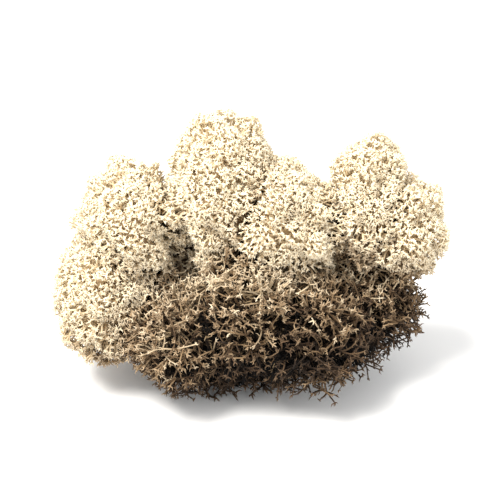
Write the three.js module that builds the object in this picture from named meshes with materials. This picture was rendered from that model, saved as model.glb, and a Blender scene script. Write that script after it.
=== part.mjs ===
// A clump of dried reindeer moss (reindeer lichen): rounded cream crowns of branchlets that end in
// small stars, grey-brown tufts lower down, and a mat of dead stems that carries them all and rests
// on a small flat spot. Millimetres, +Z up. The origin is on that flat spot, near its middle, +X is
// along the clump's length and +Y is its back.
//
// Every crown, tuft and the mat is one bush: a round core whose outer faces are drawn out into
// branchlets, each with a thin neck and three prongs round a sunken middle. Neighbouring bushes are
// parted by flat planes, and each bush keeps inside its own, so none reaches into another.
import * as THREE from "three";
import { ConvexHull } from "three/addons/math/ConvexHull.js";

// ---- Driving dimensions ----------------------------------------------------------------------
const PARTING_GAP = 0.4; // between neighbouring bushes
const GROUND_GAP = 1.2; // all but the rest spot hangs this far above the surface
const REST_REACH = 17; // from the middle of the three-cornered rest spot to its corners
const REST_CLEAR = 0.06; // how much lower than any other point the corners' directions are
const BUMP_SPACING = 9.5; // florets on a crown, centre to centre
const BUMP_HEIGHT = 2.2; // a floret's dome above the creases round it
const WAVES = [ // slow waves through the whole clump's surface, a swell being three sizes wide
  { size: 4.2, height: 2.2 },
  { size: 2.3, height: 1.6 },
];
const INNER_SHARE = 0.16; // share of the points kept on a core's hidden side
const OPEN_FROM = 0.74; // a direction is open if its plane is farther than this share of the radius
const SHORTEST = 0.4; // the shortest branchlet, as a share of the usual height above the core
const SEED = 7;

// at: a bush's centre, radius: how far its prongs reach, stretch: that reach along X, Y and Z.
const CROWNS = [
  { name: "crown_left", at: [-29, 1, 49], radius: 18, stretch: [0.95, 1, 1.15] },
  { name: "crown_middle", at: [-4, 8, 56], radius: 22, stretch: [0.82, 1, 1.14] },
  { name: "crown_shoulder", at: [14, 4, 51], radius: 18.5, stretch: [1, 1, 1] },
  { name: "crown_right", at: [37, 8, 55], radius: 15.5, stretch: [0.78, 1, 1.42] },
  { name: "crown_low_right", at: [46, 9, 49], radius: 15, stretch: [1, 1, 1] },
  { name: "crown_low_left", at: [-35, -4, 28], radius: 19.5, stretch: [1, 1, 1] },
  { name: "crown_back_left", at: [-17, 18, 31], radius: 22, stretch: [1, 1, 1] },
  { name: "crown_back_right", at: [15, 19, 33], radius: 22, stretch: [1.05, 1, 1] },
];
const TUFTS = [
  { name: "tuft_front_left", at: [-14, -13, 20], radius: 18.5, stretch: [1, 1, 1] },
  { name: "tuft_front_middle", at: [6, -12, 27], radius: 18, stretch: [1, 1, 1.1] },
  { name: "tuft_front_right", at: [25, -9, 22], radius: 19, stretch: [1, 1, 1] },
  { name: "tuft_right", at: [39, 8, 24], radius: 18, stretch: [1, 1, 1] },
];
const MAT = { name: "stem_mat", at: [0, 4, 11], radius: 22, stretch: [1, 1, 1] };

// area: the surface that one branchlet covers, in square millimetres. core, neckAt, neckWidth and
// spread are shares, and cup is a depth. seat: a core goes out to a parting plane nearer than the
// first share of the radius, and lets go of one farther than the second.
const CROWN_LOOK = {
  area: 38, core: 0.62, seat: [0.7, 0.92], neckAt: 0.34, neckWidth: 0.22, cup: 2.4, spread: 0.86,
};
const TUFT_LOOK = {
  area: 38, core: 0.55, seat: [0.7, 0.92], neckAt: 0.4, neckWidth: 0.19, cup: 2.8, spread: 0.9,
};
const MAT_LOOK = {
  area: 36, core: 0.66, seat: [0.86, 0.98], neckAt: 0.42, neckWidth: 0.2, cup: 3.2, spread: 0.9,
};

const CREAM = new THREE.MeshStandardMaterial({ color: 0xe2d6b6, roughness: 0.95 });
const GREY_BROWN = new THREE.MeshStandardMaterial({ color: 0xa39383, roughness: 0.95 });
const DEAD_BROWN = new THREE.MeshStandardMaterial({ color: 0x74665a, roughness: 0.95 });

// ---- Small helpers -----------------------------------------------------------------------------
// Numbers from 0 to 1, the same on every run.
function draws(seed) {
  let state = seed >>> 0;
  return () => {
    state = (Math.imul(state, 1664525) + 1013904223) >>> 0;
    return state / 4294967296;
  };
}

// Directions spread evenly over a sphere, turned by phase.
function evenDirections(count, phase) {
  const golden = Math.PI * (3 - Math.sqrt(5));
  return Array.from({ length: count }, (_, i) => {
    const z = 1 - (2 * i + 1) / count;
    const ring = Math.sqrt(1 - z * z);
    const turn = golden * i + phase;
    return new THREE.Vector3(ring * Math.cos(turn), ring * Math.sin(turn), z);
  });
}

// A slow, uneven wave from -1 to 1.
function wave(point, size) {
  const [x, y, z] = point.toArray().map((v) => v / size);
  const first = Math.sin(x + 1.3 * Math.sin(y));
  return first * Math.sin(1.1 * y + 1.2 * Math.sin(z)) * Math.sin(z + 0.7 * x);
}

// Leans from one direction towards another.
const between = (from, to, share) => from.clone().lerp(to, share).normalize();

// ---- The shape that a bush fills -----------------------------------------------------------------
// Its florets: even directions, each the middle of a small dome.
function floretDirections(bush, index) {
  const area = 4 * Math.PI * bush.radius ** 2;
  return evenDirections(Math.round(area / (0.866 * BUMP_SPACING ** 2)), 1.7 * index);
}

// How far the bush reaches from its centre in a direction: a stretched ball, with slow swells,
// a dome over each floret and the waves that go through the whole clump.
function reachOf(bush, index, florets) {
  const centre = new THREE.Vector3(...bush.at);
  const stretch = new THREE.Vector3(...bush.stretch);
  const domeAngle = (0.58 * BUMP_SPACING) / bush.radius;
  return (d) => {
    const ball = bush.radius / d.clone().divide(stretch).length();
    const swell =
      0.05 * Math.sin(3.1 * d.x + 1.7 * index) +
      0.05 * Math.sin(3.7 * d.y + 2.3 * index) +
      0.04 * Math.sin(4.3 * d.z + 0.9 * index);
    const nearest = Math.acos(Math.min(1, Math.max(...florets.map((f) => f.dot(d)))));
    const dome = Math.sqrt(Math.max(0, 1 - (nearest / domeAngle) ** 2));
    const even = ball * (1 + swell) + BUMP_HEIGHT * (dome - 0.75);
    const spot = centre.clone().addScaledVector(d, even);
    return WAVES.reduce((sum, { size, height }) => sum + height * wave(spot, size), even);
  };
}

// The planes round a bush, as a normal and a distance from its centre. Between two balls the plane
// goes through the circle where they meet.
function partingPlanes(bush, all) {
  const here = new THREE.Vector3(...bush.at);
  const planes = all
    .filter((other) => other !== bush)
    .map((other) => {
      const way = new THREE.Vector3(...other.at).sub(here);
      const apart = way.length();
      const meet = (apart ** 2 + bush.radius ** 2 - other.radius ** 2) / (2 * apart);
      return { normal: way.normalize(), distance: meet - PARTING_GAP / 2 };
    });
  planes.push({ normal: new THREE.Vector3(0, 0, -1), distance: here.z - GROUND_GAP });
  return planes;
}

// How far from the centre a direction may go before it meets one of the planes.
function room(planes, d) {
  return Math.min(
    ...planes.map(({ normal, distance }) => {
      const slope = normal.dot(d);
      return slope > 1e-6 ? distance / slope : Infinity;
    }),
  );
}

// The ways from the mat's centre to the three corners of the rest spot.
function restCorners() {
  return [0, 1, 2].map((k) => {
    const turn = (Math.PI / 180) * (90 + 120 * k);
    const corner = [REST_REACH * Math.cos(turn), REST_REACH * Math.sin(turn), -MAT.at[2]];
    return new THREE.Vector3(...corner);
  });
}

// ---- One bush --------------------------------------------------------------------------------------
function bushMesh(bush, index, all, look, material) {
  const draw = draws(SEED + 101 * index);
  const centre = new THREE.Vector3(...bush.at);
  const reach = reachOf(bush, index, floretDirections(bush, index));
  const planes = partingPlanes(bush, all);
  const coreRadius = look.core * bush.radius;
  // The core is round, and goes out to the parting planes where neighbours meet.
  const coreOf = (d) => {
    const away = room(planes, d);
    const seated = 1 - THREE.MathUtils.smoothstep(away / bush.radius, ...look.seat);
    return THREE.MathUtils.lerp(coreRadius, Math.min(away, bush.radius), seated);
  };

  // Points of the core: even, a little disturbed, and fewer on the hidden side. The mat's also end
  // in the corners of the rest spot, with no other point as low.
  const corners = bush === MAT ? restCorners() : [];
  const lowest = corners.length ? -corners[0].clone().normalize().z - REST_CLEAR : 1;
  const count = Math.round((2 * Math.PI * bush.radius ** 2) / look.area);
  const jitter = 0.35 * Math.sqrt((4 * Math.PI) / count);
  const directions = evenDirections(count, 2.4 * index)
    .map((d) => {
      const nudge = new THREE.Vector3(draw() - 0.5, draw() - 0.5, draw() - 0.5);
      return d.addScaledVector(nudge, jitter).normalize();
    })
    .filter((d) => room(planes, d) > OPEN_FROM * bush.radius || draw() < INNER_SHARE)
    .filter((d) => -d.z < lowest);

  const points = [];
  const triangles = [];
  const add = (d, radius) => {
    const held = Math.min(radius, room(planes, d));
    return points.push(centre.clone().addScaledVector(d, held)) - 1;
  };
  directions.forEach((d) => add(d, coreOf(d) * (0.94 + 0.12 * draw())));
  corners.forEach((corner) => {
    points.push(centre.clone().add(corner));
    directions.push(corner.clone().normalize());
  });
  const faces = new ConvexHull().setFromPoints(directions).faces;
  const numberOf = new Map(directions.map((d, i) => [d, i]));

  for (const face of faces) {
    const ways = [face.edge.tail(), face.edge.head(), face.edge.next.head()].map((v) => v.point);
    const base = ways.map((d) => numberOf.get(d));
    const middle = ways[0].clone().add(ways[1]).add(ways[2]).normalize();
    const tall = Math.min(reach(middle), room(planes, middle) - 0.3);
    const coreHere = Math.min(coreOf(middle), room(planes, middle));
    if (tall - coreHere < SHORTEST * (bush.radius - coreRadius)) {
      triangles.push(base);
      continue;
    }
    // A neck, then three prongs with a notch between each two, round a sunken middle.
    const neckRadius = coreHere + look.neckAt * (tall - coreHere);
    const lean = look.neckWidth * (0.85 + 0.3 * draw());
    const neck = ways.map((d) => add(between(middle, d, lean), neckRadius));
    const notchRadius = tall - look.cup * (0.75 + 0.3 * draw());
    const prongs = ways.map((d) => {
      const way = between(middle, d, look.spread * (0.8 + 0.2 * draw()));
      return add(way, Math.max(notchRadius + 0.6, reach(way) - 0.9 * draw()));
    });
    const notches = ways.map((d, k) => {
      const side = between(d, ways[(k + 1) % 3], 0.5);
      return add(between(middle, side, 0.3), notchRadius);
    });
    const cup = add(middle, notchRadius - 0.5);
    for (let k = 0; k < 3; k++) {
      const next = (k + 1) % 3;
      triangles.push([base[k], base[next], neck[next]], [base[k], neck[next], neck[k]]);
      triangles.push([neck[k], neck[next], notches[k]]);
      triangles.push([neck[k], notches[k], prongs[k]], [neck[next], prongs[next], notches[k]]);
      triangles.push([cup, prongs[k], notches[k]], [cup, notches[k], prongs[next]]);
    }
  }

  const geometry = new THREE.BufferGeometry().setFromPoints(points);
  geometry.setIndex(triangles.flat());
  geometry.computeVertexNormals();
  const mesh = new THREE.Mesh(geometry, material);
  mesh.name = bush.name;
  return mesh;
}

// ---- The clump -----------------------------------------------------------------------------------------
const bushes = [...CROWNS, ...TUFTS, MAT];
const clump = new THREE.Group();
bushes.forEach((bush, index) => {
  const kind = CROWNS.includes(bush)
    ? [CROWN_LOOK, CREAM]
    : bush === MAT
      ? [MAT_LOOK, DEAD_BROWN]
      : [TUFT_LOOK, GREY_BROWN];
  clump.add(bushMesh(bush, index, bushes, ...kind));
});

export default clump;
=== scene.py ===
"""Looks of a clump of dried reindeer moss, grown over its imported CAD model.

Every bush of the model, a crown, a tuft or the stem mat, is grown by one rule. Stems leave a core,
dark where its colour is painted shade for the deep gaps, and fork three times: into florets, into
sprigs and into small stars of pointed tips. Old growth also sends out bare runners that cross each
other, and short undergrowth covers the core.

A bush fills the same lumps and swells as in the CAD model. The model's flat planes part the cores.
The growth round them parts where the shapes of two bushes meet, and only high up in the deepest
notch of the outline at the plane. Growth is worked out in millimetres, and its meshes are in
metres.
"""
import math
from dataclasses import dataclass

import bmesh
import bpy
import numpy as np
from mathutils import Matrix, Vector


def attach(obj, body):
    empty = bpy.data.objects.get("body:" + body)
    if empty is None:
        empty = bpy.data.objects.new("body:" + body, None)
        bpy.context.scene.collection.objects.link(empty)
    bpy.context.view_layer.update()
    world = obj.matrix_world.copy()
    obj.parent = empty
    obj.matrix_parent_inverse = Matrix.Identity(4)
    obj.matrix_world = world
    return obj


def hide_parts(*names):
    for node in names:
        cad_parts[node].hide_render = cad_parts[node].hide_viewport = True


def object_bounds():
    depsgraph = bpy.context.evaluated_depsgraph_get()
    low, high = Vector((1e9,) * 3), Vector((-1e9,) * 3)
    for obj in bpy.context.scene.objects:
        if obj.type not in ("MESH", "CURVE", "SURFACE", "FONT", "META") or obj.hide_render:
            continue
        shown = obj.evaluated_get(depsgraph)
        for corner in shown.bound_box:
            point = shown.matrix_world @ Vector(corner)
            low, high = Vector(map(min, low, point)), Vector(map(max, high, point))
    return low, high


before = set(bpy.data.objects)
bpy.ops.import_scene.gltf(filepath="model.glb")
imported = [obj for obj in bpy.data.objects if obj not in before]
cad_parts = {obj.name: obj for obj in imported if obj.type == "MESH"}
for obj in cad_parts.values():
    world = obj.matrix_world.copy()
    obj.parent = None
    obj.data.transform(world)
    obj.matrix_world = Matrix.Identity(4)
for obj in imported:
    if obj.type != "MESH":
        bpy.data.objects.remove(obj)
cad_low, cad_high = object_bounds()

MM = 0.001
SEED = 11
FAR = 999  # farther than anything on the clump (millimetres)

# ---- The bushes, as in the CAD model -----------------------------------------------------------
PARTING_GAP = 0.4
GROUND_GAP = 1.2
BUMP_SPACING = 9.5
BUMP_HEIGHT = 2.2
DOME_WIDTH = 0.58  # a floret's radius, as a share of the spacing
DOME_SINK = 0.75  # how deep a floret's foot lies under the ball, as a share of its height
FLORET_TURN = 1.7  # how much further each bush's florets are turned than those of the one before
WAVES = ((4.2, 2.2), (2.3, 1.6))  # size and height
SWELLS = ((0.05, 3.1, 1.7), (0.05, 3.7, 2.3), (0.04, 4.3, 0.9))  # height, rate and shift by bush

# at: a bush's centre, radius: how far it reaches, stretch: that reach along X, Y and Z.
# It is fresh above the first height of fade and old below the second.
CROWNS = (
    dict(name="crown_left", at=(-29, 1, 49), radius=18, stretch=(0.95, 1, 1.15), fade=(44, 14)),
    dict(name="crown_middle", at=(-4, 8, 56), radius=22, stretch=(0.82, 1, 1.14), fade=(47, 20)),
    dict(name="crown_shoulder", at=(14, 4, 51), radius=18.5, stretch=(1, 1, 1), fade=(50, 28)),
    dict(name="crown_right", at=(37, 8, 55), radius=15.5, stretch=(0.78, 1, 1.42), fade=(60, 40)),
    dict(name="crown_low_right", at=(46, 9, 49), radius=15, stretch=(1, 1, 1), fade=(52, 35)),
    dict(name="crown_low_left", at=(-35, -4, 28), radius=19.5, stretch=(1, 1, 1), fade=(35, 11)),
    dict(name="crown_back_left", at=(-17, 18, 31), radius=22, stretch=(1, 1, 1), fade=(44, 17)),
    dict(name="crown_back_right", at=(15, 19, 33), radius=22, stretch=(1.05, 1, 1), fade=(46, 19)),
)
# Low in the tufts the dark colour is part old grey-brown stems, part painted shade under the
# crowns.
TUFTS = (
    dict(name="tuft_front_left", at=(-14, -13, 20), radius=18.5, stretch=(1, 1, 1), fade=(42, 8)),
    dict(name="tuft_front_middle", at=(6, -12, 27), radius=18, stretch=(1, 1, 1.1), fade=(48, 16)),
    dict(name="tuft_front_right", at=(25, -9, 22), radius=19, stretch=(1, 1, 1), fade=(54, 22)),
    dict(name="tuft_right", at=(39, 8, 24), radius=18, stretch=(1, 1, 1), fade=(50, 16)),
)
MATS = (
    dict(name="stem_mat", at=(0, 4, 11), radius=22, stretch=(1, 1, 1), fade=(80, 14)),
)

# The deep notches of the outline: how much deeper than the other valleys they are, and the height
# above which growth is parted by the CAD model's plane (millimetres).
NOTCHES = {
    frozenset(("crown_left", "crown_middle")): (4.2, 46),
    frozenset(("crown_shoulder", "crown_right")): (1.8, FAR),
    frozenset(("crown_left", "crown_low_left")): (0.6, FAR),
}


# ---- How each kind grows -------------------------------------------------------------------------
@dataclass(frozen=True)
class Kind:
    """How one kind of bush grows. Lengths are in millimetres."""

    sprig: float  # spacing of the sprigs over the surface
    star: float  # spacing of the stars
    deep: tuple  # how far under the surface florets, sprigs and stars fork
    thick: tuple  # radius of a stem at the core, a floret, a sprig and a star
    ragged: float  # how unevenly deep sprigs and stars lie
    lump: float  # height of a sprig's own dome
    crease: float  # how much deeper the creases between florets are than the CAD model's
    tips: tuple  # how many tips of a star are bowed, and how many between them are straight
    tip_length: float
    tip_lean: float  # degrees, from the star's axis
    twigs: tuple  # how many side twigs under a star are bowed, and how many are straight
    runners: int  # bare stems that each sprig sends out
    run: tuple  # lengths of the shortest and the longest of them
    bare: float  # how much of the surface has lost its growth: 0 for none
    thin: float  # share of the stars that are left where the bush is old
    mixed: float  # how much the tints of neighbouring strands differ
    meeting: float  # how much older it looks where crowns meet other bushes
    seam: float  # painted shade: how much darker it is tinted along all its seams
    valley: float  # depth of the valleys along its seams
    core: float  # how far under the surface the core lies, dark where it paints shade in the gaps
    seat: float  # how far inside the rim of a parting plane the core goes out to the plane


CROWN = Kind(
    sprig=3.1, star=1.3, deep=(8, 2.7, 0.8), thick=(1.1, 0.48, 0.32, 0.26), ragged=0.2, lump=0.75,
    crease=1.6, tips=(3, 3), tip_length=1.1, tip_lean=54, twigs=(0, 3), runners=0, run=(0, 0),
    bare=0, thin=0.6, mixed=1.2, meeting=0.25, seam=0.35, valley=1.8, core=4.3, seat=4.2,
)
TUFT = Kind(
    sprig=3.8, star=1.5, deep=(9, 4.4, 1.4), thick=(1.0, 0.48, 0.3, 0.22), ragged=1.4, lump=0.9,
    crease=1.8, tips=(4, 0), tip_length=1.15, tip_lean=50, twigs=(1, 0), runners=3, run=(3.0, 7.5),
    bare=0.98, thin=0.1, mixed=2.4, meeting=-0.35, seam=0.12, valley=0, core=8.0, seat=2.3,
)
MAT = Kind(
    sprig=4.2, star=3.0, deep=(9, 4.4, 1.4), thick=(1.3, 0.75, 0.45, 0.3), ragged=1.2, lump=0.9,
    crease=1.0, tips=(4, 0), tip_length=1.8, tip_lean=42, twigs=(1, 0), runners=3, run=(4.0, 9.0),
    bare=0.85, thin=1, mixed=2, meeting=0, seam=0.2, valley=0, core=8.0, seat=2.3,
)

SIDES = 3  # of every stem and tip
TIP_SHARE = 0.87  # of the tips that a star has room for
TIP_SPREAD = 17  # degrees, of the lean of its tips
MESHING = 1.2  # how far neighbouring bushes reach into each other
GROUND_MARGIN = 0.3  # growth nearer the ground than this is left out
CORE_CORNERS = 400
UNDERGROWTH = 1.5  # short stems on a square millimetre of a core
BURIED = 5  # a core carries no undergrowth this far or farther inside its seat
VALLEY_COVER = 2.2  # growth left over a core at the bottom of a valley

# The spots of each level of forks: how far they stray, as a share of their spacing, how far from a
# seam the bush keeps them (millimetres), and how much their tints differ.
FLORET_JITTER, FLORET_MARGIN, FLORET_TINT = 0.12, 0.5, 0.04
SPRIG_JITTER, SPRIG_MARGIN, SPRIG_TINT = 0.3, 0.2, 0.06
STAR_JITTER, STAR_MARGIN, STAR_TINT = 0.33, -0.5 * MESHING, 0.07
UNDERGROWTH_TINT = 0.1

# How old a strand looks where it starts and where it ends: 1 at the core, 0 at the end of a tip.
# In the darker colour columns a strand's deep end is painted shade.
STEM_AGE = (1.0, 0.82)
BRANCH_AGE = (0.82, 0.5)
STALK_AGE = (0.55, 0.26)
TIP_AGE = (0.24, 0.0)
TWIG_AGE = (0.45, 0.2)
RUNNER_AGE = (0.5, 0.2)
RUNNER_TIP_AGE = (0.2, 0.0)
RUNNER_TWIG_AGE = (0.4, 0.1)
UNDERGROWTH_AGE = (1.0, 0.62)

STEM_START = 0.25  # of the way from a bush's centre to a floret
SPRIG_DOME = 0.62  # the radius of a sprig's own dome, as a share of the sprigs' spacing
STRAY_STAR = 1.3  # of that spacing: a star farther from its sprig has a short stalk of its own
CREASE_SHADE = 0.25  # painted shade: how much darker the stars in a crease are tinted
OLD_TIPS = 0.45  # how much longer tips are where the most stars are gone
TIP_LENGTHS = (0.55, 1.3)  # shares of the kind's tip length, as are the next two
TWIG_LENGTHS = (0.7, 1.2)
RUNNER_TWIG_LENGTHS = (0.8, 1.6)
RUNNER_FORKS = (0.4, 0.7)  # where the twigs of a runner leave it
RUNNER_TIPS, RUNNER_TIP_LEAN = (3, 0), 38  # as tips and tip_lean of a kind
UNDERGROWTH_LENGTHS = (0.3, 0.75)  # shares of the core's depth

# Where bushes meet (millimetres). A wander is a distance aside and the size of its wave.
SEAM_WANDER = (1.2, 3.2)
VALLEY_WANDER = (0.9, 4.5)
NARROWEST = 0.3  # two lines from two centres count as at least this far from parallel
NOTCH_BLEND = 10  # the height over which a notch goes from the shapes' seam to the flat plane
SEAM_FADE, MEETING_FADE = 2, 6  # how far a seam's painted shade and a meeting's older look go
VALLEY_WIDTH, NOTCH_WIDTH = 2, 3

SOFTNESS = 1  # how widely one bush's surface flows into the next (millimetres)
SOFT_ROUNDS, SOFT_STEP = 4, 0.7  # rounds in which it is worked out, and how far each one goes
SLOPE_STEP = 1.2  # how far apart the surface is measured for its slope

# Patches over the whole clump, by the size of their waves.
UNEVEN_SIZE = 4.5  # where valleys are deeper or less deep
VALLEY_SHARE, LEAST_VALLEY = 0.75, 0.15  # of their full depth: usual and least
BARE_SIZE = 1.9  # where growth is lost
SHELTER = 0.4  # how much less of it is lost next to crowns
PATCHES = ((0.2, 6.5), (0.16, 2.6))  # how much older or fresher it looks, and the size
# Below the old height in the tufts, part of that darkening is painted shade.
HEIGHT_SHARE = 0.8  # how much older it looks at the old height than at the fresh one
LEAST_TINT, TINT_ROOM = 0.08, 0.9  # the freshest tint, and the room above it


# ---- Directions ----------------------------------------------------------------------------------
def unit(v):
    return v / np.maximum(np.linalg.norm(v, axis=-1, keepdims=True), 1e-9)


def spot_count(area, spacing):
    """How many spots of an even, hexagonal pattern an area holds."""
    return round(area / (0.866 * spacing**2))


def even_directions(count, phase):
    """Directions spread evenly over a sphere, turned by phase."""
    i = np.arange(count)
    z = 1 - (2 * i + 1) / count
    ring = np.sqrt(1 - z * z)
    turn = math.pi * (3 - math.sqrt(5)) * i + phase
    return np.stack([ring * np.cos(turn), ring * np.sin(turn), z], 1)


def nearest_of(directions, hubs):
    """For each direction, the number of the nearest hub and the angle to it."""
    likeness = directions @ hubs.T
    nearest = likeness.argmax(1)
    closest = likeness[np.arange(len(directions)), nearest]
    return nearest, np.arccos(np.clip(closest, -1, 1))


def wave(points, size):
    """A slow, uneven wave from -1 to 1. Its swells are about three sizes wide."""
    x, y, z = (points / size).T
    return np.sin(x + 1.3 * np.sin(y)) * np.sin(1.1 * y + 1.2 * np.sin(z)) * np.sin(z + 0.7 * x)


def across(way, rng):
    """Two directions square to each way and to each other, turned at random."""
    side = unit(np.cross(way, unit(rng.normal(size=way.shape))))
    return side, np.cross(way, side)


# ---- The shape that a bush fills -----------------------------------------------------------------
class Bush:
    """Its methods take points and directions from its own centre."""

    def __init__(self, index, kind, name, at, radius, stretch, fade):
        self.index, self.kind, self.name, self.radius, self.fade = index, kind, name, radius, fade
        self.centre = np.array(at, float)
        self.stretch = np.array(stretch, float)
        self.height = self.centre[2] - (0 if kind is MAT else GROUND_GAP)
        area = 4 * math.pi * radius**2
        self.florets = even_directions(spot_count(area, BUMP_SPACING), FLORET_TURN * index)

    def dome(self, d):
        """1 over the middle of a floret and 0 in the creases round it."""
        angle = nearest_of(d, self.florets)[1]
        return np.sqrt(np.maximum(0, 1 - (angle / (DOME_WIDTH * BUMP_SPACING / self.radius)) ** 2))

    def reach(self, d, dome_share=1):
        """How far the bush alone reaches: a stretched ball, swells, domes and slow waves."""
        stretched = self.radius / np.linalg.norm(d / self.stretch, axis=1)
        swell = sum(
            height * np.sin(rate * d[:, k] + shift * self.index)
            for k, (height, rate, shift) in enumerate(SWELLS)
        )
        even = stretched * (1 + swell) + BUMP_HEIGHT * (dome_share * self.dome(d) - DOME_SINK)
        spots = self.centre + d * even[:, None]
        return even + sum(height * wave(spots, size) for size, height in WAVES)

    def set_neighbours(self, bushes):
        """The other bushes, and the CAD model's planes: outward normals and distances."""
        self.neighbours = [b for b in bushes if b is not self]
        normals, distances = [], []
        for other in self.neighbours:
            way = other.centre - self.centre
            apart = np.linalg.norm(way)
            meet = (apart**2 + self.radius**2 - other.radius**2) / (2 * apart)
            normals.append(way / apart)
            distances.append(meet - PARTING_GAP / 2)
        self.normals, self.distances = np.array(normals), np.array(distances)
        self.sides = np.array([1 if b.index > self.index else -1 for b in self.neighbours])
        self.unlike = [(b.kind is CROWN) != (self.kind is CROWN) for b in self.neighbours]
        pairs = [frozenset((self.name, b.name)) for b in self.neighbours]
        self.notches, self.open_above = np.array([NOTCHES.get(p, (0, FAR)) for p in pairs]).T

    def wander(self, points, aside, size):
        """How far each seam strays outward. It strays as far inward for the neighbour."""
        return self.sides * (aside * wave(points + self.centre, size))[:, None]

    def seams(self, points):
        """How far points are from the seams with each neighbour.

        A seam lies where a point is as deep in one bush as in the other, and a point that is
        deeper in the neighbour has a negative distance. High up in a notch that is open, the
        seam is the CAD model's plane."""
        far = np.linalg.norm(points, axis=1)
        ways = points / np.maximum(far, 0.01)[:, None]
        own = far - self.reach(ways)
        away = []
        for other in self.neighbours:
            line = points + self.centre - other.centre
            length = np.linalg.norm(line, axis=1)
            line /= length[:, None]
            opening = np.maximum(NARROWEST, np.linalg.norm(line - ways, axis=1))
            away.append((length - other.reach(line) - own) / opening)
        away = np.stack(away, 1)
        planes = self.distances - points @ self.normals.T
        height = points[:, 2:] + self.centre[2]
        opened = np.clip((height - self.open_above) / NOTCH_BLEND + 0.5, 0, 1)
        return away + opened * (planes - away) + self.wander(points, *SEAM_WANDER)

    def inside(self, points, margin):
        """Which points are this bush's own."""
        above = -points[:, 2] < self.height - GROUND_MARGIN
        return (self.seams(points) > margin).all(1) & above

    def nearness(self, points):
        """1 at a seam, fading to 0 a few millimetres away."""
        return np.exp(-np.maximum(0, self.seams(points).min(1)) / SEAM_FADE)

    def meeting(self, points):
        """1 where a crown meets a tuft or the mat, fading to 0 several millimetres away."""
        away = self.seams(points)[:, self.unlike].min(1)
        return np.exp(-np.maximum(0, away) / MEETING_FADE)

    def valley(self, points, depth):
        """How deep the valleys that wander along the seams are."""
        away = np.abs(self.seams(points) - self.wander(points, *VALLEY_WANDER))
        usual = np.exp(-away / VALLEY_WIDTH) * depth[:, None]
        return (usual + np.exp(-away / NOTCH_WIDTH) * self.notches).max(1)

    def surface(self, d):
        """How far the clump reaches: as the bush alone, but flowing into its neighbours."""
        own = self.reach(d)
        reach = own.copy()
        for _ in range(SOFT_ROUNDS):
            points = self.centre + d * reach[:, None]
            total = np.exp(-(reach - own) / SOFTNESS)
            for other in self.neighbours:
                away = points - other.centre
                far = np.linalg.norm(away, axis=1)
                over = far - other.radius
                close = over < 4 * SOFTNESS
                over[close] = far[close] - other.reach(away[close] / far[close, None])
                total += np.exp(-np.maximum(over, -2 * SOFTNESS) / SOFTNESS)
            step = SOFT_STEP * SOFTNESS * np.log(total)
            reach = np.clip(reach + step, own, own + 2 * SOFTNESS)
        return reach

    def outward(self, d):
        """The bush's outward normal where direction d meets it."""
        step = SLOPE_STEP / self.radius
        steady = np.where(np.abs(d[:, 2:]) < 0.9, [0.0, 0, 1], [1.0, 0, 0])
        side = unit(np.cross(d, steady))
        here = d * self.reach(d)[:, None]
        slopes = []
        for way in (side, np.cross(d, side)):
            near = unit(d + step * way)
            slopes.append(near * self.reach(near)[:, None] - here)
        return unit(np.cross(*slopes))

    def placed(self, points):
        """Points raised to the ground where they would pass it, in the clump's own frame."""
        points[:, 2] = np.maximum(points[:, 2], -self.height)
        return points + self.centre


# ---- Strands: many curved, tapering stems in one call --------------------------------------------
class Growth:
    """Gathers the strands of one piece: their points, faces and two colour values."""

    def __init__(self, rng):
        self.rng = rng
        self.points, self.faces, self.age, self.tint = [], [], [], []
        self.count = 0

    def strands(self, start, end, bend, thick, age, tint, steps=2, pointed=False):
        """Strands from start to end, drawn aside by bend in the middle.

        thick and age hold a value at the start and one at the end. A pointed strand closes in one
        point, and any other stays open where its next stems hide it."""
        n = len(start)
        if not n:
            return
        shares = np.linspace(0, 1, steps + 1)
        side, over = across(unit(end - start), self.rng)
        turns = 2 * np.pi * np.arange(SIDES)[None, :, None] / SIDES
        round_it = np.cos(turns) * side[:, None] + np.sin(turns) * over[:, None]
        rings = []
        for t in shares:
            middle = (start + t * (end - start) + (4 * t * (1 - t)) * bend)[:, None]
            size = thick[0] + t * (thick[1] - thick[0])
            rings.append(middle if pointed and t == 1 else middle + size * round_it)
        points = np.concatenate(rings, 1)
        each = points.shape[1]
        ages = [np.full(r.shape[1], age[0] + t * (age[1] - age[0])) for t, r in zip(shares, rings)]
        pattern = []
        for k in range(steps):
            for s in range(SIDES):
                a, b = k * SIDES + s, k * SIDES + (s + 1) % SIDES
                if pointed and k == steps - 1:
                    pattern.append((a, b, steps * SIDES))
                else:
                    pattern += [(a, b, b + SIDES), (a, b + SIDES, a + SIDES)]
        faces = np.array(pattern)[None] + self.count + each * np.arange(n)[:, None, None]
        self.add(
            points.reshape(-1, 3), faces.reshape(-1, 3), np.tile(np.concatenate(ages), n),
            np.repeat(np.broadcast_to(tint, n), each),
        )

    def add(self, points, faces, age, tint):
        self.points.append(points)
        self.faces.append(faces)
        self.age.append(age)
        self.tint.append(tint)
        self.count += len(points)


def ball(count):
    """Points of an even ball and its faces."""
    made = bmesh.new()
    for p in even_directions(count, 0):
        made.verts.new(p)
    bmesh.ops.convex_hull(made, input=made.verts)
    bmesh.ops.recalc_face_normals(made, faces=made.faces)
    made.verts.index_update()
    points = np.array([v.co[:] for v in made.verts])
    faces = np.array([[v.index for v in f.verts] for f in made.faces])
    made.free()
    return points, faces


CORE_POINTS, CORE_FACES = ball(CORE_CORNERS)


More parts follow.
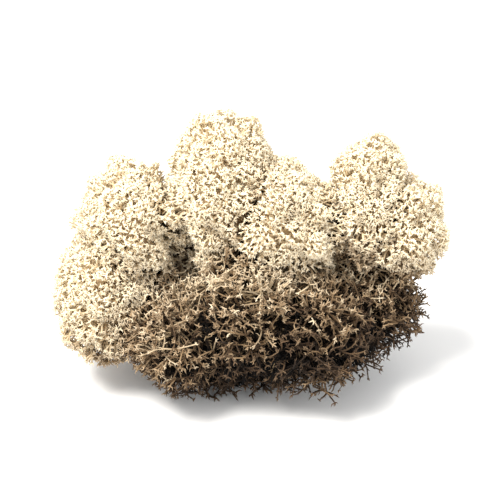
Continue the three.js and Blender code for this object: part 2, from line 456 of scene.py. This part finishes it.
# ---- One bush ------------------------------------------------------------------------------------
class Grower:
    """Grows one bush in the steps of grow(). Each step makes its random draws after the last."""

    def __init__(self, bush):
        self.bush, self.kind = bush, bush.kind
        self.rng = np.random.default_rng(SEED + bush.index)
        self.growth = Growth(self.rng)
        self.at_core, self.at_floret, self.at_sprig, self.at_star = bush.kind.thick
        self.floret_deep, self.sprig_deep, self.star_deep = bush.kind.deep

    def grow(self):
        self.grow_florets()
        self.grow_sprigs()
        self.grow_stars()
        self.grow_side_twigs()
        for _ in range(self.kind.runners):
            self.grow_runners()
        self.add_core()
        self.grow_undergrowth()
        self.growth.points = [self.bush.placed(p) for p in self.growth.points]
        return self.growth

    # Where growth stands and how old it looks.
    def hubs(self, spacing, depth, jitter, phase, stretch=1):
        """Spots of one level of forks, evenly spread and a little disturbed, and their ways."""
        bush = self.bush
        area = 4 * math.pi * bush.radius**2 * np.prod(stretch) ** (2 / 3)
        d = unit(even_directions(spot_count(area, spacing), phase) * stretch)
        d = unit(d + jitter * spacing / bush.radius * self.rng.uniform(-1, 1, d.shape))
        d = d[bush.inside(d * (bush.reach(d) - depth)[:, None], -MESHING - 1)]
        surface = bush.surface(d)
        points = d * surface[:, None]
        uneven = VALLEY_SHARE + wave(points + bush.centre, UNEVEN_SIZE)
        valley = bush.valley(points, self.kind.valley * np.clip(uneven, LEAST_VALLEY, 1))
        return d, d * (surface - depth - valley)[:, None]

    def faded(self, points):
        """0 above the fresh height and 1 below the old one."""
        fresh, old_and_shaded = self.bush.fade
        height = (fresh - points[:, 2] - self.bush.centre[2]) / (fresh - old_and_shaded)
        met = self.kind.meeting * self.bush.meeting(points)
        return np.clip(np.clip(height, 0, 1) + met, 0, 1)

    def tint_at(self, points, spread):
        """0 where fresh and 1 where old or painted as shade, uneven in patches and by strand."""
        world = points + self.bush.centre
        (wide, wide_size), (small, small_size) = PATCHES
        patches = wide * wave(world, wide_size) + small * wave(world[:, ::-1], small_size)
        uneven = patches + self.kind.mixed * spread * self.rng.normal(size=len(points))
        # Painted shade along the seams is added to the older tint below the fade heights.
        old_and_shaded = HEIGHT_SHARE * self.faded(points) + self.kind.seam * self.bush.nearness(points)
        return LEAST_TINT + TINT_ROOM * np.clip(old_and_shaded + uneven, 0, 1)

    def bare(self, points):
        """Patches a few millimetres wide that have lost their growth, fewer next to crowns."""
        share = self.kind.bare * (1 - SHELTER * self.bush.meeting(points))
        return wave(points + self.bush.centre, BARE_SIZE) > 1 - share

    # The three levels of forks.
    def grow_florets(self):
        turn = FLORET_TURN * self.bush.index
        ways, florets = self.hubs(BUMP_SPACING, self.floret_deep, FLORET_JITTER, phase=turn)
        held = self.bush.inside(florets, FLORET_MARGIN)
        self.floret_ways, self.florets = ways[held], florets[held]
        self.growth.strands(
            self.florets * STEM_START, self.florets,
            bend=1.2 * self.rng.normal(size=self.florets.shape),
            thick=(self.at_core, self.at_floret), age=STEM_AGE,
            tint=self.tint_at(self.florets, FLORET_TINT), steps=3,
        )

    def grow_sprigs(self):
        bush, kind, rng = self.bush, self.kind, self.rng
        ways, sprigs = self.hubs(
            kind.sprig, self.sprig_deep, SPRIG_JITTER, phase=0.6 + bush.index,
            stretch=bush.stretch,
        )
        sprigs = sprigs + kind.ragged * rng.uniform(-1, 0.3, (len(sprigs), 1)) * ways
        held = bush.inside(sprigs, SPRIG_MARGIN) & ~self.bare(sprigs)
        self.sprig_ways, self.sprigs = ways, sprigs = ways[held], sprigs[held]
        parent = nearest_of(ways, self.floret_ways)[0]
        sway = 0.35 * rng.normal(size=sprigs.shape) - 0.5 * ways
        self.sprig_tint = self.tint_at(sprigs, SPRIG_TINT)
        self.growth.strands(
            self.florets[parent], sprigs, sway, thick=(self.at_floret, self.at_sprig),
            age=BRANCH_AGE, tint=self.sprig_tint, steps=3,
        )

    def grow_stars(self):
        bush, kind, rng = self.bush, self.kind, self.rng
        ways, stars = self.hubs(
            kind.star, self.star_deep, STAR_JITTER, phase=2.1 + 0.7 * bush.index,
            stretch=bush.stretch,
        )
        # The stars of one sprig stand on a small dome, and those in a crease lie deeper.
        parent, angle = nearest_of(ways, self.sprig_ways)
        off = angle * bush.radius / (SPRIG_DOME * kind.sprig)
        crease = 1 - bush.dome(ways)
        lift = kind.lump * (np.sqrt(np.maximum(0, 1 - off**2)) - 0.7)
        lift += kind.ragged * rng.uniform(-1, 0.6, len(stars)) - kind.crease * crease
        stars = stars + lift[:, None] * ways
        gone = (1 - kind.thin) * self.faded(stars)
        held = bush.inside(stars, STAR_MARGIN) & ~self.bare(stars)
        held &= rng.random(len(stars)) > gone
        ways, stars, parent, crease, gone = (x[held] for x in (ways, stars, parent, crease, gone))
        # Stars in a crease get a darker tint: painted shade between the florets.
        tint = np.clip(self.tint_at(stars, STAR_TINT) + CREASE_SHADE * crease, 0, 1)
        sway = 0.18 * rng.normal(size=stars.shape) - 0.25 * ways
        # A star too far from its sprig rises out of the tangle beneath it.
        stalk = stars - self.sprigs[parent]
        far = np.linalg.norm(stalk, axis=1) > STRAY_STAR * kind.sprig
        stalk[far] = self.sprig_deep * unit(ways[far] + 0.4 * rng.normal(size=(far.sum(), 3)))
        self.growth.strands(
            stars - stalk, stars, sway, thick=(self.at_sprig, self.at_star), age=STALK_AGE,
            tint=tint, steps=1,
        )
        normal = bush.outward(ways)
        axis = unit(normal + 0.35 * unit(stalk) + 0.32 * rng.normal(size=stars.shape))
        long = kind.tip_length * (1 + OLD_TIPS * gone[:, None])
        self.tips(stars, axis, tint, kind.tips, long, kind.tip_lean)
        self.star_ways, self.stars, self.stalks, self.star_tint = ways, stars, stalk, tint

    # Tips, twigs and runners.
    def tips(self, spots, axis, tint, count, length, lean, age=TIP_AGE):
        """Pointed tips round an axis: some bowed a little towards it, and plain ones between."""
        rng = self.rng
        side, over = across(axis, rng)
        bowed, total = count[0], sum(count)
        for k in range(total):
            some = rng.random(len(spots)) < TIP_SHARE
            turn = 2 * math.pi * (k + rng.uniform(-0.4, 0.4, len(spots))) / total
            tilt = np.radians(lean + rng.normal(0, TIP_SPREAD, len(spots)))
            round_it = np.cos(turn)[:, None] * side + np.sin(turn)[:, None] * over
            way = np.cos(tilt)[:, None] * axis + np.sin(tilt)[:, None] * round_it
            long = length * rng.uniform(*TIP_LENGTHS, (len(spots), 1))
            bow = 0.13 * long * (round_it - axis)
            self.growth.strands(
                spots[some], (spots + long * way)[some], bow[some],
                thick=(self.at_star, self.at_star * 0.7), age=age, tint=tint[some],
                steps=2 if k * bowed % total < bowed else 1, pointed=True,
            )

    def twigs(self, start, way, length, crooked, age, tint, steps):
        """Short pointed twigs without tips of their own."""
        self.growth.strands(
            start, start + length * way, bend=crooked * self.rng.normal(size=start.shape),
            thick=(self.at_star * 0.9, self.at_star * 0.6), age=age, tint=tint, steps=steps,
            pointed=True,
        )

    def grow_side_twigs(self):
        """Twigs under the stars, which fill the gaps between them."""
        rng = self.rng
        bowed, straight = self.kind.twigs
        for k in range(bowed + straight):
            start = self.stars - rng.uniform(0.2, 0.65, (len(self.stars), 1)) * self.stalks
            way = unit(rng.normal(size=start.shape) + 0.5 * self.star_ways)
            length = self.kind.tip_length * rng.uniform(*TWIG_LENGTHS, (len(start), 1))
            steps = 2 if k < bowed else 1
            self.twigs(start, way, length, 0.1, TWIG_AGE, self.star_tint, steps)

    def grow_runners(self):
        """Bare stems that cross each other near the surface, with a few twigs and tips."""
        bush, rng, ways, sprigs = self.bush, self.rng, self.sprig_ways, self.sprigs
        normal = bush.outward(ways)
        side = across(normal, rng)[0]
        way = unit(side + rng.uniform(-0.25, 0.75, (len(sprigs), 1)) * normal)
        start = sprigs + rng.uniform(-1.5, 0.8, (len(sprigs), 1)) * ways
        end = start + rng.uniform(*self.kind.run, (len(sprigs), 1)) * way
        far = np.linalg.norm(end, axis=1)
        most = bush.reach(end / far[:, None]) + rng.uniform(-2.0, 0.6, len(end))
        end = end * np.minimum(1, most / far)[:, None]
        some = bush.inside(end, -MESHING)
        start, end, way, tint = start[some], end[some], way[some], self.sprig_tint[some]
        bend = 0.6 * rng.normal(size=start.shape)
        self.growth.strands(
            start, end, bend, thick=(self.at_sprig, self.at_star), age=RUNNER_AGE, tint=tint,
            steps=3,
        )
        axis = unit(way + 0.3 * rng.normal(size=way.shape))
        length = self.kind.tip_length
        self.tips(end, axis, tint, RUNNER_TIPS, length, RUNNER_TIP_LEAN, RUNNER_TIP_AGE)
        for share in RUNNER_FORKS:
            fork = start + share * (end - start) + 4 * share * (1 - share) * bend
            turn = unit(way + 0.9 * rng.normal(size=way.shape))
            twig = length * rng.uniform(*RUNNER_TWIG_LENGTHS, (len(fork), 1))
            self.twigs(fork, turn, twig, 0.15, RUNNER_TWIG_AGE, tint, 2)

    # The core and what covers it.
    def add_core(self):
        """The core of packed stems, darkest where its colour is painted shade for the gaps. It goes
        out to a neighbour's plane where the growth of both hides it.
        """
        bush, kind = self.bush, self.kind
        slope = CORE_POINTS @ bush.normals.T
        rooms = np.where(slope > 0.01, bush.distances / np.maximum(slope, 0.01), FAR)
        nearest, room = rooms.argmin(1), rooms.min(1)
        plane = bush.distances[nearest]
        reach = bush.reach(CORE_POINTS, dome_share=0)
        rim = np.sqrt(np.maximum(0, reach**2 - plane**2))
        within = rim - np.sqrt(np.maximum(0, room**2 - plane**2))
        self.covered = within - kind.seat - bush.notches[nearest]
        valley = bush.valley(CORE_POINTS * reach[:, None], np.full(len(reach), kind.valley))
        deep = reach - np.maximum(kind.core, valley + VALLEY_COVER)
        out = np.where(self.covered > 0, room, np.minimum(room, deep))
        self.core = CORE_POINTS * out[:, None]
        # Painted shade: the core is tinted darkest where a neighbour's plane cuts it and darker in
        # valleys.
        self.growth.add(
            self.core, CORE_FACES + self.growth.count, np.ones(len(self.core)),
            np.where(room < reach, 1, np.clip(0.3 + 0.3 * valley, 0, 1)),
        )

    def grow_undergrowth(self):
        """Short stems that stand close together on the core."""
        rng = self.rng
        corners = self.core[CORE_FACES]
        sides = corners[:, 1:] - corners[:, :1]
        area = np.linalg.norm(np.cross(sides[:, 0], sides[:, 1]), axis=1) / 2
        area[(self.covered[CORE_FACES] > BURIED).all(1)] = 0
        face = rng.choice(len(area), round(UNDERGROWTH * area.sum()), p=area / area.sum())
        share = rng.dirichlet((1, 1, 1), len(face))[:, :, None]
        start = (corners[face] * share).sum(1)
        way = unit(unit(start) + 0.8 * rng.normal(size=start.shape))
        stem = self.kind.core * rng.uniform(*UNDERGROWTH_LENGTHS, (len(start), 1)) * way
        held = self.bush.inside(start + stem, -MESHING)[:, None]
        end = start + np.where(held, 1, 0.4) * stem
        self.growth.strands(
            start, end, bend=0.5 * rng.normal(size=start.shape),
            thick=(self.at_floret * 0.9, self.at_star), age=UNDERGROWTH_AGE,
            tint=self.tint_at(end, UNDERGROWTH_TINT), steps=1, pointed=True,
        )


# ---- Meshes and materials ------------------------------------------------------------------------
TINT_JITTER = 0.012
BAKE_MARGIN = 0.01  # of the map that the materials are baked through


def as_mesh(name, growth, material):
    """One piece's mesh, with its colour values as attributes and as a map to bake through."""
    rng = np.random.default_rng(SEED)
    points = np.concatenate(growth.points) * MM
    faces = np.concatenate(growth.faces)
    age = np.concatenate(growth.age)
    tint = np.concatenate(growth.tint) + rng.uniform(-TINT_JITTER, TINT_JITTER, len(age))
    tint = np.clip(tint, 0, 1)
    mesh = bpy.data.meshes.new(name)
    mesh.vertices.add(len(points))
    mesh.vertices.foreach_set("co", points.astype(np.float32).ravel())
    mesh.loops.add(faces.size)
    mesh.loops.foreach_set("vertex_index", faces.astype(np.int32).ravel())
    mesh.polygons.add(len(faces))
    mesh.polygons.foreach_set("loop_start", np.arange(0, faces.size, 3, dtype=np.int32))
    mesh.polygons.foreach_set("use_smooth", np.ones(len(faces), bool))
    mesh.update(calc_edges=True)
    for label, values in (("age", age), ("tint", tint)):
        attribute = mesh.attributes.new(label, "FLOAT", "POINT")
        attribute.data.foreach_set("value", values.astype(np.float32))
    uv = mesh.uv_layers.new(name="OFBake")
    spots = BAKE_MARGIN + (1 - 2 * BAKE_MARGIN) * np.stack([tint, age], 1)[faces.ravel()]
    uv.uv.foreach_set("vector", spots.astype(np.float32).ravel())
    mesh.materials.append(material)
    piece = bpy.data.objects.new(name, mesh)
    bpy.context.scene.collection.objects.link(piece)
    return piece


def rgb(code):
    """A scene-linear colour from an sRGB hex code."""
    values = [int(code[k : k + 2], 16) / 255 for k in (0, 2, 4)]
    linear = [v / 12.92 if v <= 0.04045 else ((v + 0.055) / 1.055) ** 2.4 for v in values]
    return (*linear, 1)


AGES = (0.0, 0.25, 0.5, 0.8, 1.0)  # a tip's end, a star, a sprig, a floret, the core
FRESH = ("faeed3", "f9ebcd", "f8e8c8", "f3e0bb", "dec59a")
PALE = ("f0e3c9", "e7d5b5", "d9c39e", "baa07a", "886f52")
# These columns fall to near black toward the core: painted shade in the deep gaps, over the real
# brown of faded, old and dead stems. The two darkest also paint the shade low in the tufts.
FADED_SHADED = ("baa283", "937a5b", "5e4832", "281c12", "100a06")
OLD_SHADED = ("745f49", "503d2c", "261c12", "0c0805", "030201")
DEAD_SHADED = ("4c3c2d", "30241a", "140e09", "060403", "020101")


def lichen(name, columns):
    """A matte, felty skin. Each column holds colours by age, and tint goes through the columns."""
    material = bpy.data.materials.new(name)
    material.use_nodes = True
    tree = material.node_tree
    link = tree.links.new
    shader = tree.nodes["Principled BSDF"]
    shader.inputs["Sheen Weight"].default_value = 0.03
    shader.inputs["Sheen Roughness"].default_value = 0.6
    shader.inputs["Specular IOR Level"].default_value = 0.1

    def node(kind, settings=(), **links):
        made = tree.nodes.new(kind)
        for key, value in dict(settings).items():
            made.inputs[key].default_value = value
        for key, source in links.items():
            link(source, made.inputs[key])
        return made

    def by_name(label):
        made = tree.nodes.new("ShaderNodeAttribute")
        made.attribute_name = label
        return made.outputs["Fac"]

    age, tint = by_name("age"), by_name("tint")

    def ramp(codes):
        made = node("ShaderNodeValToRGB", Fac=age)
        stops = made.color_ramp.elements
        while len(stops) < len(codes):
            stops.new(0.5)
        for stop, place, code in zip(stops, AGES, codes):
            stop.position = place
            stop.color = rgb(code)
        return made.outputs["Color"]

    colour = ramp(columns[0])
    parts = len(columns) - 1
    for k, column in enumerate(columns[1:]):
        part = {"From Min": k / parts, "From Max": (k + 1) / parts}
        share = node("ShaderNodeMapRange", part, Value=tint)
        mix = tree.nodes.new("ShaderNodeMix")
        mix.data_type = "RGBA"
        first, second = [s for s in mix.inputs if s.type == "RGBA"]
        link(share.outputs["Result"], mix.inputs["Factor"])
        link(colour, first)
        link(ramp(column), second)
        colour = [s for s in mix.outputs if s.type == "RGBA"][0]

    place = tree.nodes.new("ShaderNodeTexCoord").outputs["Object"]
    mottle = node("ShaderNodeTexNoise", {"Scale": 420, "Detail": 4}, Vector=place)
    spread = {"To Min": 0.88, "To Max": 1.12}
    shade = node("ShaderNodeMapRange", spread, Value=mottle.outputs["Fac"])
    value = node("ShaderNodeHueSaturation", Color=colour, Value=shade.outputs["Result"])
    link(value.outputs["Color"], shader.inputs["Base Color"])

    fine = node("ShaderNodeTexNoise", {"Scale": 3500, "Detail": 2}, Vector=place)
    rough = node("ShaderNodeMapRange", {"To Min": 0.82, "To Max": 1}, Value=fine.outputs["Fac"])
    link(rough.outputs["Result"], shader.inputs["Roughness"])
    depth = {"Strength": 0.35, "Distance": 0.00006}
    bump = node("ShaderNodeBump", depth, Height=fine.outputs["Fac"])
    link(bump.outputs["Normal"], shader.inputs["Normal"])
    return material


KINDS = (
    (CROWN, CROWNS, "cream_crown", lichen("cream_lichen", (FRESH, PALE, FADED_SHADED))),
    (TUFT, TUFTS, "grey_brown_tuft", lichen("grey_brown_lichen", (PALE, FADED_SHADED, OLD_SHADED, DEAD_SHADED))),
    (MAT, MATS, "dead_stem", lichen("dead_lichen", (FADED_SHADED, OLD_SHADED, DEAD_SHADED))),
)
rows = [(kind, entry, slot, material) for kind, group, slot, material in KINDS for entry in group]
bushes = [Bush(i, kind, **entry) for i, (kind, entry, _, _) in enumerate(rows)]
for bush in bushes:
    bush.set_neighbours(bushes)
for bush, (_, _, slot, material) in zip(bushes, rows):
    piece = as_mesh(bush.name + "_grown", Grower(bush).grow(), material)
    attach(piece, "root")
    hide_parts(bush.name)

# ---- Floor, light and camera ---------------------------------------------------------------------
VIEW_AZIMUTH, VIEW_ELEVATION = 8, 28  # degrees, of the photo's camera as the clump sees it
FOCAL_LENGTH, SENSOR_WIDTH = 74, 36  # millimetres
CAMERA_AWAY, FLOOR_SIZE = 0.3, 6  # metres
FLOOR_COLOUR = (0.86, 0.86, 0.855, 1)
SKY_STRENGTH = 1.08
middle = (Vector(cad_low) + Vector(cad_high)) / 2


def floor():
    bpy.ops.mesh.primitive_plane_add(size=FLOOR_SIZE, location=(0, 0, 0))
    plane = bpy.context.object
    plane.name = "floor"
    material = bpy.data.materials.new("floor")
    material.use_nodes = True
    shader = material.node_tree.nodes["Principled BSDF"]
    shader.inputs["Base Color"].default_value = FLOOR_COLOUR
    shader.inputs["Roughness"].default_value = 0.9
    plane.data.materials.append(material)


def area_light(name, way, away, size, watts, colour):
    data = bpy.data.lights.new(name, "AREA")
    data.shape = "DISK"
    data.size = size
    data.energy = watts
    data.color = colour
    light = bpy.data.objects.new(name, data)
    way = Vector(way).normalized()
    light.location = middle + away * way
    light.rotation_mode = "QUATERNION"
    light.rotation_quaternion = way.to_track_quat("Z", "Y")
    bpy.context.scene.collection.objects.link(light)


def camera():
    data = bpy.data.cameras.new("camera")
    data.lens = FOCAL_LENGTH
    data.sensor_width = SENSOR_WIDTH
    data.clip_start = 0.01
    eye = bpy.data.objects.new("camera", data)
    a, e = math.radians(VIEW_AZIMUTH), math.radians(VIEW_ELEVATION)
    back = Vector((math.sin(a) * math.cos(e), -math.cos(a) * math.cos(e), math.sin(e)))
    eye.location = middle + CAMERA_AWAY * back
    eye.rotation_mode = "QUATERNION"
    eye.rotation_quaternion = back.to_track_quat("Z", "Y")
    bpy.context.scene.collection.objects.link(eye)
    bpy.context.scene.camera = eye


def backdrop_light():
    world = bpy.data.worlds.new("studio")
    world.use_nodes = True
    sky = world.node_tree.nodes["Background"]
    sky.inputs["Color"].default_value = (1, 1, 1, 1)
    sky.inputs["Strength"].default_value = SKY_STRENGTH
    bpy.context.scene.world = world


bpy.context.scene.view_settings.view_transform = "Standard"
floor()
backdrop_light()
area_light("key", (-0.5, -0.5, 1.3), away=0.9, size=0.4, watts=13, colour=(1.0, 0.97, 0.93))
area_light("fill", (1.0, -0.9, 0.7), away=1.0, size=0.8, watts=2, colour=(0.96, 0.98, 1.0))
camera()
